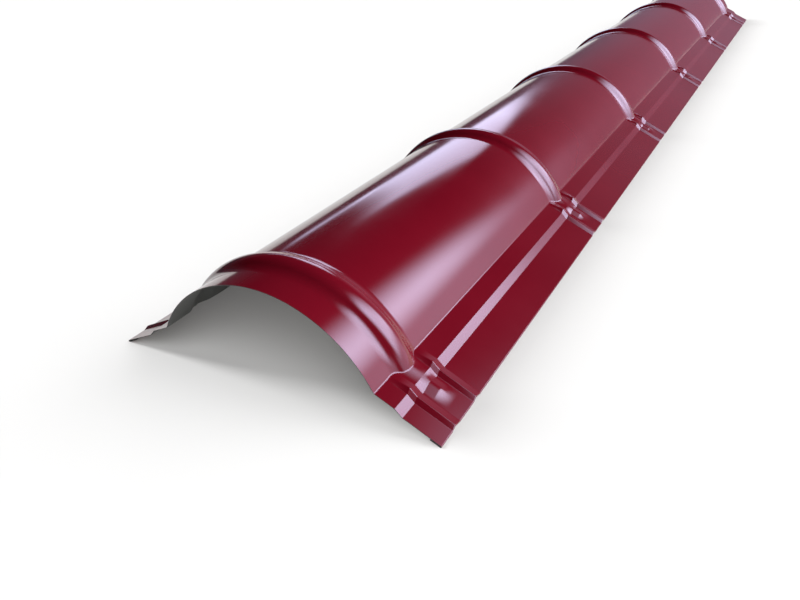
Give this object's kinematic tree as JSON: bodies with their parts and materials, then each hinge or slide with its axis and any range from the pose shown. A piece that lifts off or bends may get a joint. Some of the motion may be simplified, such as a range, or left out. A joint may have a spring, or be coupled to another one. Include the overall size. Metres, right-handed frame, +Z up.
{
  "type": "roof ridge cap",
  "caption": "Half-round ridge cap of painted sheet steel with pressed cross ribs, stepped side flanges and hemmed edges, laid over the ridge of a metal tile roof.",
  "frame": {"origin": "middle of the footprint, on the floor that the two hemmed edges rest on", "axes": "+Y along the cap from the plain collar end to the lap end, +X across it to the right, +Z up"},
  "size_m": [0.3116, 1.97, 0.098],
  "materials": {
    "red_coat": "gloss wine-red coil coating, grey-green back coat underneath"
  },
  "bodies": {
    "root": {"ridge_cap": "red_coat"}
  },
  "joints": []
}
